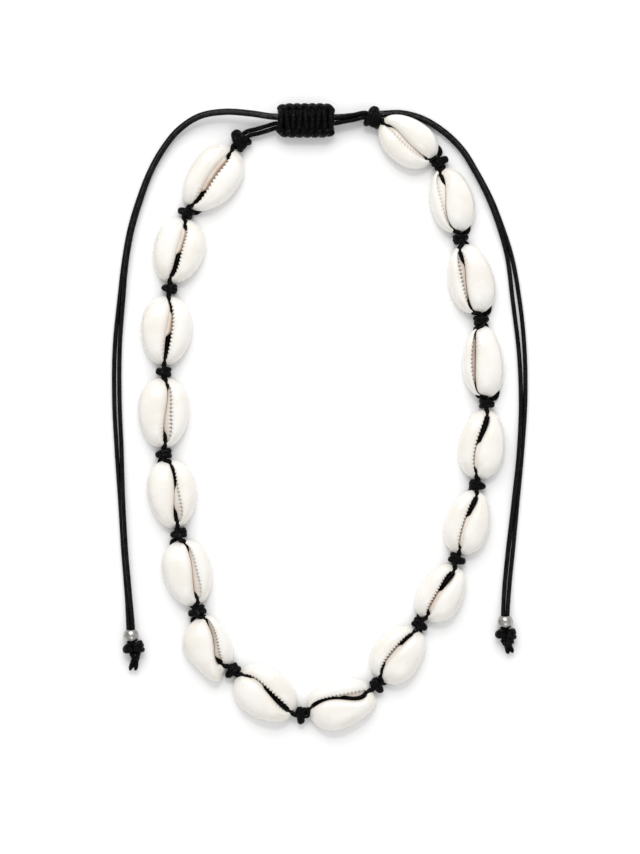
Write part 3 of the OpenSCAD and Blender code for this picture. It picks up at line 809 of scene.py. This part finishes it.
class NecklaceLooks(bpy.types.PropertyGroup):
    """Colours of the necklace's finishes"""

    enamel: a_colour("Enamel", "Cream of the shells", (0.79, 0.755, 0.69))
    enamel_pale: a_colour("Pale enamel", "Paler clouds of the shells", (0.845, 0.825, 0.785))
    slit_tint: a_colour("Slit tint", "Tan beside the slit on the smooth side", (0.6, 0.42, 0.28))
    # Painted shade that greys the shells' lower flanks
    rim_painted_shade: a_colour("Rim tint", "Grey of the shells' lower rims", (0.6, 0.58, 0.56))
    ledge: a_colour("Ledge", "Brown beige inside the slit", (0.5, 0.4, 0.34))
    ledge_pale: a_colour("Pale ledge", "Pink beige inside the slit", (0.84, 0.79, 0.75))
    # Painted shade in the gaps between the teeth
    tooth_gap_painted_shade: a_colour("Grooves", "Brown between the teeth", (0.09, 0.06, 0.04))
    cord: a_colour("Cord", "Black of the waxed cord", (0.0008, 0.0007, 0.0008))
    cord_worn: a_colour("Worn cord", "Where the wax is thin", (0.003, 0.0027, 0.003))
    steel: a_colour("Steel", "Polished steel of the beads", (0.48, 0.47, 0.46))
    steel_warm: a_colour("Warm steel", "Smears on the beads", (0.28, 0.265, 0.25))
    board: a_colour("Board", "White of the floor", (0.95, 0.95, 0.95))


def sizes():
    """The sizes that are set in the scene."""
    return bpy.context.scene.necklace_sizes


def looks():
    """The colours that are set in the scene."""
    return bpy.context.scene.necklace_looks


def finish_of(name, build):
    """The finish of that name, built when it is first asked for."""
    return bpy.data.materials.get(name) or build(looks())


class NECKLACE_OT_stage(bpy.types.Operator):
    """Sets the camera straight above the necklace, the pale floor and the soft light"""

    bl_idname = "necklace.stage"
    bl_label = "Camera, floor and light"

    # Camera: what it looks at, the length that its longer side takes in, its sensor and its range
    VIEW_MIDDLE, VIEW_LENGTH = (-0.4 * MM, -2.8 * MM), 230.6 * MM
    SENSOR, CLIP = 36, (0.01, 20)
    # Floor: its size and how far it lies below the cords. Light of the white room.
    FLOOR_SIZE, BELOW, ROOM_LIGHT = 3.0, 0.15 * MM, 0.71
    # Soft boxes: name, place and size in metres, power in watts
    SOFT_BOXES = (
        ("window", (-0.08, 0.85, 0.82), (1.1, 0.82), 7.8),
        ("reflector", (0.1, -0.5, 0.7), (0.5, 0.4), 0.7),
        ("lamp", (-0.02, 0.42, 0.8), (0.06, 0.05), 0.9),
    )

    def execute(self, context):
        scene = context.scene
        camera = bpy.data.objects.new("camera", bpy.data.cameras.new("camera"))
        camera.data.sensor_width = self.SENSOR
        camera.data.lens = self.SENSOR * sizes().camera_height / self.VIEW_LENGTH
        camera.data.clip_start, camera.data.clip_end = self.CLIP
        camera.location = (*self.VIEW_MIDDLE, sizes().camera_height)
        scene.collection.objects.link(camera)
        scene.camera = camera
        scene.view_settings.view_transform = "Standard"

        self.add_floor(scene)
        for name, place, size, power in self.SOFT_BOXES:
            self.add_light(scene, name, place, size, power)
        world = bpy.data.worlds.new("studio")
        world.use_nodes = True
        background = world.node_tree.nodes["Background"]
        background.inputs["Color"].default_value = (1, 1, 1, 1)
        background.inputs["Strength"].default_value = self.ROOM_LIGHT
        scene.world = world
        return {"FINISHED"}

    def add_floor(self, scene):
        """A square of the floor's size, a little below the necklace."""
        half = self.FLOOR_SIZE / 2
        signs = ((-1, -1), (1, -1), (1, 1), (-1, 1))
        corners = [(x * half, y * half, -self.BELOW) for x, y in signs]
        mesh = bpy.data.meshes.new("floor")
        mesh.from_pydata(corners, [], [(0, 1, 2, 3)])
        mesh.materials.append(finish_of("studio board", floor_finish))
        floor = bpy.data.objects.new("floor", mesh)
        scene.collection.objects.link(floor)

    def add_light(self, scene, name, place, size, power):
        """A soft box that looks at the middle of the necklace."""
        light = bpy.data.lights.new(name, "AREA")
        light.shape = "RECTANGLE"
        light.size, light.size_y = size
        light.energy = power
        lamp = bpy.data.objects.new(name, light)
        lamp.location = place
        lamp.rotation_euler = (-Vector(place)).to_track_quat("-Z", "Y").to_euler()
        scene.collection.objects.link(lamp)


class NECKLACE_OT_tails(bpy.types.Operator):
    """Lays the four free strands of the two tails, with a bead and a stopper knot on each tail"""

    bl_idname = "necklace.tails"
    bl_label = "Tails, beads and stoppers"

    # Way from ring to ring, and way into the sliding knot and into the stopper
    SPACING, SUNK_IN_SLIDER, SUNK_IN_STOPPER = 0.5, 2.0, 1.6
    # Share of the pair's usual spread where the table's share is 1. More is added where it is more.
    CLOSEST = 0.52
    # Bead: the bore's radius, half the bead's length, points along its arc and round its bore, and
    # the bore's soft edge in millimetres in from the flat end and out from the bore
    BORE, HALF_BEAD, ARC_POINTS, ROUND_POINTS = 1.35, 1.55, 25, 48
    SOFT_EDGE = np.array([(0, 0.06), (0.03, 0.01), (0.1, 0)])
    # Stopper: radius of a lobe's strands, its width for its length, and its phase; the neck's
    # width, length and height as shares of the stopper's, its turn, phase and strands' radius
    LOBE_RADIUS, LOBE_WIDTH, LOBE_PHASE = 0.7, 1.15, 2
    NECK_SHARE, NECK_TURN, NECK_PHASE, NECK_RADIUS = (0.56, 0.6, 0.8), 90, 1.4, 0.6
    # Cut ends: where they leave the neck, least and further length, splay in degrees, fall, and
    # the distance from ring to ring
    END_START, END_LENGTH, END_MORE, END_SPLAY, END_FALL, END_SPACING = 1.2, 1.2, 2.7, 7, 0.5, 0.25
    # Radius along a cut end: at its start, near its tip and at its tip
    END_PLACES, END_RADII = (0, 0.8, 1), (0.66, 0.62, 0.25)
    # Lobes of the two stoppers: millimetres down from the bead and to the left of that, and size
    LOBES = {
        "left": ((0.9, -1, 3.2), (1.4, 1.2, 3.4)),
        "right": ((0.7, -1.1, 3.1), (1.3, 1.2, 3.1), (2.6, 0.5, 2.8)),
    }

    def execute(self, context):
        cord = finish_of("waxed cotton cord", cord_finish)
        smooth_cord = finish_of("smooth waxed cord", tail_finish)
        steel = finish_of("polished steel", steel_finish)
        rows = (
            ("left", LEFT_TAIL, -1, LEFT_BEAD, LEFT_STOPPER, (("outer", -1), ("inner", 1))),
            ("right", RIGHT_TAIL, 1, RIGHT_BEAD, RIGHT_STOPPER, (("outer", 1), ("inner", -1))),
        )
        for name, route, way, bead_place, stopper_place, strands in rows:
            bead = self.bead(name, bead_place, steel)
            stopper = self.stopper(name, route, stopper_place, cord)
            for strand, side in strands:
                path, leaves = self.strand_path(route, side, way, stopper_place[0])
                form = Form()
                add_strand(form, path, sizes().cord / MM / 2, self.SPACING, 16)
                node = f"{name}_tail_{strand}"
                piece = form.make(f"{name}_{strand}_strand", smooth_cord, "waxed_cord", node)
                leaves * MM
                path * MM
        return {"FINISHED"}

    def strand_path(self, route, side, way, last_angle):
        """One strand's way beside the tail's route, half the pair's spread to one side of it, and
        where it leaves the sliding knot. Where the two lie closer than a cord, the inner strand
        lies higher, on the outer one: by the root of the cord squared less their way squared."""
        before, after = np.vstack([route[:1], route[:-1]]), np.vstack([route[1:], route[-1:]])
        angle = bearing((after - before).T)
        angle[0], angle[-1] = (0 if way > 0 else 180), last_angle
        spread = self.CLOSEST + route[:, 3:] - 1
        spots = spot(route[:, 0], route[:, 1], LYING + CORD * route[:, 2])
        spots = spots + side * PAIR_OFFSET * spread * leftward(angle)
        if side * way < 0:
            spots[:, 2:] += np.sqrt(np.maximum(0, CORD**2 - (2 * PAIR_OFFSET * spread) ** 2))
        inside_slider = spots[0] - way * self.SUNK_IN_SLIDER * ACROSS
        inside_stopper = spots[-1] + self.SUNK_IN_STOPPER * heading(last_angle)
        path = curve_through(np.vstack([inside_slider, spots, inside_stopper]), self.SPACING)
        return path, spots[0]

    def bead(self, side, place, material):
        """A turned steel ball with a bore: a circle's arc, the flat end, a small round edge and
        the bore's line, carried once round the bore."""
        low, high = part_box(f"{side}_bead")
        radius = (high[2] - low[2]) / MM / 2
        end = np.arcsin(self.HALF_BEAD / radius)
        arc = np.linspace(-end, end, self.ARC_POINTS)
        outer = np.stack([radius * np.sin(arc), radius * np.cos(arc)], -1)
        edge = (self.HALF_BEAD, self.BORE) + self.SOFT_EDGE * (-1, 1)
        profile = np.vstack([outer, edge, [(0, self.BORE)], edge[::-1] * (-1, 1)])
        along, out = profile.T
        t = (np.arange(self.ROUND_POINTS) * TURN / self.ROUND_POINTS)[:, None]
        points = np.stack([along + 0 * t, out * np.cos(t), out * np.sin(t)], -1)
        middle = spot(*place[:2], radius)
        form = Form()
        form.grid(turned(points, place[2], middle), (1, 1 / self.ROUND_POINTS), close_rows=True)
        return form.make(f"{side}_steel_bead", material, "steel_bead", f"{side}_bead")

    def stopper(self, side, route, place, material):
        """An overhand stopper: round lobes, a neck below them and two strands cut aslant."""
        angle, turn, share = place
        length, width, height = STOPPER_SIZE
        top = spot(*route[-1, :2], height / 2)
        form = Form()
        for down, left, size in self.LOBES[side]:
            lobe_middle = top + down * heading(angle) + left * leftward(angle)
            lobe = (size, self.LOBE_WIDTH * size, height)
            add_knot(form, lobe, angle, lobe_middle, self.LOBE_PHASE + left, self.LOBE_RADIUS)
        neck = np.array([width, length, height]) * self.NECK_SHARE
        neck_middle = top + (length - neck[1] / 2) * heading(angle)
        neck_angle = angle + turn / 2 + self.NECK_TURN
        add_knot(form, neck, neck_angle, neck_middle, self.NECK_PHASE, self.NECK_RADIUS)
        neck_end = top + (length - self.END_START) * heading(angle)
        end_length = self.END_LENGTH + self.END_MORE * share
        for way in (-1, 1):
            start = neck_end + way * PAIR_OFFSET / 2 * leftward(angle)
            end = start + end_length * heading(angle + turn + way * self.END_SPLAY)
            end = end - self.END_FALL * ABOVE
            path = curve_through([start, mix(start, end, 0.5), end], self.END_SPACING)
            radius = np.interp(np.linspace(0, 1, len(path)), self.END_PLACES, self.END_RADII)
            add_strand(form, path, radius, self.END_SPACING, 12)
        return form.make(f"{side}_stopper_knot", material, "waxed_cord", f"{side}_stopper")


class NECKLACE_OT_shells(bpy.types.Operator):
    """Shapes the seventeen cowries with their lips, teeth and hollow backs"""

    bl_idname = "necklace.shells"
    bl_label = "Cowrie shells"

    def execute(self, context):
        enamel = finish_of("cowrie enamel", shell_finish)
        for i in range(len(SHELLS)):
            form = cowrie_form(i, sizes().tooth_count, sizes().tooth_depth / MM)
            form.make(f"cowrie_{i + 1:02d}", enamel, "cowrie_shell", f"shell_{i + 1:02d}")
        return {"FINISHED"}


class NECKLACE_OT_string(bpy.types.Operator):
    """Threads the two strands of the string through and behind the shells"""

    bl_idname = "necklace.string"
    bl_label = "String"

    # Way from ring to ring, way into a knot, and height of the upper strand over a notch
    SPACING, SUNK = 0.4, 1.2
    OVER_NOTCH = NOTCH_HEIGHT + CORD / 2 + 0.1
    # Height in the slit where the strand is seen and where the ledge hides it, how steeply it
    # sinks from the notches to that, and the share of the slit's length that it is drawn through
    SEEN_HEIGHT, HIDDEN_HEIGHT, SINKING, IN_SLIT = 3.6, 2.3, 1.3, 0.92
    # Lower strand near each end of a shell: share of half the shell's length, millimetres more,
    # and share of how far across it comes out there. Then how far across it lies in the middle.
    BELOW_END, BELOW_MIDDLE = np.array([(1, 0.6, 0.75), (1, -1, 1), (0.6, 0, 0.6)]), -0.6
    # Shares of the way from an end knot to the sliding knot where the strands lie side by side
    ALONG_END = 0.4, 0.75

    def execute(self, context):
        cord = finish_of("waxed cotton cord", cord_finish)
        radius = sizes().cord / MM / 2
        upper, lower = Form(), Form()
        for i in range(len(SHELLS)):
            for form, spots in ((upper, self.upper_spots(i)), (lower, self.lower_spots(i))):
                add_strand(form, curve_through(spots, self.SPACING), radius, self.SPACING)
        upper.make("string_through_shells", cord, "waxed_cord", "front_strand")
        lower.make("string_behind_shells", cord, "waxed_cord", "back_strand")
        loop_ends = (("left", 0, -1, LEFT_LOOP_END), ("right", LAST_KNOT, 1, RIGHT_LOOP_END))
        for name, k, way, place in loop_ends:
            ends = Form()
            for side in (-1, 1):
                path = curve_through(self.end_spots(k, way, place, side), self.SPACING)
                add_strand(ends, path, radius, self.SPACING)
            ends.make(f"{name}_loop_end", cord, "waxed_cord", f"{name}_end_strands")
        return {"FINISHED"}

    def upper_spots(self, i):
        """From knot to knot over both notches, in the part of the slit that its ledge leaves open,
        and lower where the ledge hides it."""
        half = half_length(i)
        reach = half - BRIDGE_WALL / 2
        s = np.linspace(-self.IN_SLIT, self.IN_SLIT, 15)
        edge = slit_edge(i, s, 0) + np.minimum(slit_gap(i, s), widest_opening(i, s)) / 2
        inward = np.clip(self.SINKING * (1 - abs(s)), 0, 1)
        sunk = mix(self.SEEN_HEIGHT, self.HIDDEN_HEIGHT, hidden_share(i, s))
        height = mix(self.OVER_NOTCH, sunk, inward)
        inner = np.stack([s * (half - BRIDGE_WALL), edge, height], -1)
        wide, narrow = ((way * reach, slit_across(i, way), self.OVER_NOTCH) for way in (-1, 1))
        return self.stretch(i, 1, np.vstack([wide, inner, narrow]))

    def lower_spots(self, i):
        """From knot to knot below the shell, on the surface, out beside the shell's ends where the
        strand shows there."""
        share, more, out = self.BELOW_END.T
        reach = share * half_length(i) + more
        wide, narrow = (
            np.stack([way * reach, out * seen, LYING + 0 * reach], -1)
            for way, seen in zip((-1, 1), SEEN[i, 7:])
        )
        middle = [(0, self.BELOW_MIDDLE, LYING)]
        return self.stretch(i, -1, np.vstack([wide, middle, narrow[::-1]]))

    def stretch(self, i, level, spots):
        """From inside one knot, through spots on a shell, to inside the next knot: at level 1 the
        upper strand, at -1 the lower one."""
        start = [strand_exit(i, 1, level, inside) for inside in (self.SUNK, 0)]
        end = [strand_exit(i + 1, -1, level, inside) for inside in (0, self.SUNK)]
        return np.vstack([start, on_shell(i, spots), end])

    def end_spots(self, k, way, place, side):
        """From an end knot to the sliding knot, half a cord to one side of the other strand."""
        face = knot_middle(k) + way * knot_size(k)[0] / 2 * heading(knot_angle(k))
        end = slider_end(way) + np.array([0, CORD * place[0], LYING + CORD * place[1]])
        along = bearing(way * (end - face))
        out = leftward(knot_angle(k)) * side * PAIR_OFFSET
        beside = leftward(along) * side * PAIR_OFFSET
        entry = end - side * PAIR_OFFSET * np.array([0, 1, 0])
        return np.array([
            face - way * self.SUNK * heading(knot_angle(k)) + out, face + out,
            *(mix(face, end, share) + beside for share in self.ALONG_END),
            entry, entry - way * self.SUNK * ACROSS,
        ])


class NECKLACE_OT_knots(bpy.types.Operator):
    """Ties the knot on each side of every shell"""

    bl_idname = "necklace.knots"
    bl_label = "Knots"

    # Radius of the strands, and share of the length, of the usual knots and of the two end knots
    RADIUS, LENGTH_SHARE = 0.7, 0.88
    END_RADIUS, END_LENGTH_SHARE = 0.84, 1
    # How much each knot's turns are ahead of those of the one before, in radians
    AHEAD = 1.9

    def execute(self, context):
        cord = finish_of("waxed cotton cord", cord_finish)
        for i in range(LAST_KNOT + 1):
            form = Form()
            radius, share = self.RADIUS, self.LENGTH_SHARE
            if i in (0, LAST_KNOT):
                radius, share = self.END_RADIUS, self.END_LENGTH_SHARE
            size = np.array(knot_size(i)) * (share, 1, 1)
            add_knot(form, size, knot_angle(i), knot_middle(i), self.AHEAD * i, radius)
            form.make(f"string_knot_{i:02d}", cord, "waxed_cord", f"knot_{i:02d}")
        return {"FINISHED"}


class NECKLACE_OT_sliding_knot(bpy.types.Operator):
    """Winds the sliding knot round the four strands"""

    bl_idname = "necklace.sliding_knot"
    bl_label = "Sliding knot"

    HALF = np.array(SLIDER_SIZE) / 2
    MIDDLE = SLIDER_MIDDLE + HALF[2] * ABOVE
    # Core: how far it lies inside the knot, and how boxy it is, each along, across and up
    CORE_INSIDE, CORE_BLUNT = (1, 1, 0.9), (0.45, 0.7, 0.7)
    # Wraps: how many, radius, radii of the length that their middles leave free, points of each,
    # how far the end wraps and the others lie inside, lean of three in turn, and how boxy they are
    WRAPS, WRAP_RADIUS, WRAPS_FREE, WRAP_POINTS = 9, 0.85, 3.2, 60
    END_WRAP_INSIDE, WRAP_INSIDE, WRAP_LEANS, WRAP_BLUNT = 1.2, 0.9, (0.5, -0.35, 0.15), 0.8
    # Edge strands: radius, turns of their twist from end to end, how far it sways inward, how far
    # it is turned on, and share by which it is drawn in at the ends
    EDGE_RADIUS, EDGE_BUMPS, EDGE_SWAY, EDGE_START, DRAWN_IN = 0.95, 3.6, 0.55, 0.7, 0.24
    # Height of their middle and of their twist as shares, how far their ends lie inside the knot,
    # and the length over which these are rounded
    EDGE_HEIGHT, EDGE_RISE, EDGE_INSIDE, EDGE_ROUND = 0.1, 0.6, 0.7, 0.9

    def execute(self, context):
        form = Form()
        core = blunted(ellipsoid_points((1, 1, 1), 24, 28), self.CORE_BLUNT)
        core = core * (self.HALF - self.CORE_INSIDE)
        form.grid(turned(core, 0, self.MIDDLE), (1, 0.3))
        self.add_wraps(form)
        self.add_edges(form)
        cord = finish_of("waxed cotton cord", cord_finish)
        form.make("macrame_sliding_knot", cord, "waxed_cord", "sliding_knot")
        return {"FINISHED"}

    def add_wraps(self, form):
        """Upright wraps side by side: boxy circles in the width and the height, which lean along
        the knot by the cosine of their angle, three in turn by different ways."""
        width, height = self.HALF[1:] - self.WRAP_RADIUS
        pitch = (2 * self.HALF[0] - self.WRAPS_FREE * self.WRAP_RADIUS) / (self.WRAPS - 1)
        t = np.arange(self.WRAP_POINTS) * TURN / self.WRAP_POINTS
        for k in range(self.WRAPS):
            x = (k - (self.WRAPS - 1) / 2) * pitch
            at_end = k in (0, self.WRAPS - 1)
            half = width - (self.END_WRAP_INSIDE if at_end else self.WRAP_INSIDE)
            y = half * blunted(np.cos(t), self.WRAP_BLUNT)
            z = height * blunted(np.sin(t), self.WRAP_BLUNT)
            lean = self.WRAP_LEANS[k % len(self.WRAP_LEANS)] * np.cos(t)
            loop = np.stack([x + lean, y, z], -1)
            add_loop(form, loop, self.WRAP_RADIUS, loop - x * ACROSS, 0, self.MIDDLE, (1.5, 0.3))

    def add_edges(self, form):
        """Along each edge two strands that twist round each other, drawn in at the ends."""
        radius = self.EDGE_RADIUS
        length, width, height = self.HALF
        u = np.linspace(-1, 1, 90)
        drawn_in = 1 - self.DRAWN_IN * u**8
        for way in (-1, 1):
            for phase in (0, np.pi):
                twist = np.pi * self.EDGE_BUMPS * u + phase + way * self.EDGE_START
                out = (width - radius - self.EDGE_SWAY * (1 - np.cos(twist))) * drawn_in
                rise = self.EDGE_HEIGHT + self.EDGE_RISE * np.sin(twist)
                up = (height - radius) * rise * drawn_in
                along = u * (length - self.EDGE_INSIDE)
                path = self.MIDDLE + np.stack([along, way * out, up], -1)
                add_strand(form, path, rounded_radius(path, radius, self.EDGE_ROUND), 0.3, 12)


class NECKLACE_PT_panel(bpy.types.Panel):
    """Lists the pieces of the necklace and the sizes and colours that may be changed"""

    bl_idname = "NECKLACE_PT_panel"
    bl_label = "Cowrie shell necklace"
    bl_space_type = "VIEW_3D"
    bl_region_type = "UI"
    bl_category = "Necklace"

    def draw(self, context):
        for group in (context.scene.necklace_sizes, context.scene.necklace_looks):
            box = self.layout.box()
            for name in group.__annotations__:
                box.prop(group, name)
        for operator in OPERATORS:
            self.layout.operator(operator.bl_idname)


OPERATORS = (
    NECKLACE_OT_stage, NECKLACE_OT_tails, NECKLACE_OT_shells, NECKLACE_OT_string,
    NECKLACE_OT_knots, NECKLACE_OT_sliding_knot,
)
CLASSES = (NecklaceSizes, NecklaceLooks) + OPERATORS + (NECKLACE_PT_panel,)


def register():
    for cls in CLASSES:
        bpy.utils.register_class(cls)
    bpy.types.Scene.necklace_sizes = bpy.props.PointerProperty(type=NecklaceSizes)
    bpy.types.Scene.necklace_looks = bpy.props.PointerProperty(type=NecklaceLooks)


def unregister():
    del bpy.types.Scene.necklace_looks
    del bpy.types.Scene.necklace_sizes
    for cls in reversed(CLASSES):
        bpy.utils.unregister_class(cls)


def main():
    register()
    bpy.ops.necklace.stage()
    bpy.ops.necklace.tails()
    bpy.ops.necklace.shells()
    bpy.ops.necklace.string()
    bpy.ops.necklace.knots()
    bpy.ops.necklace.sliding_knot()


if __name__ == "__main__":
    main()
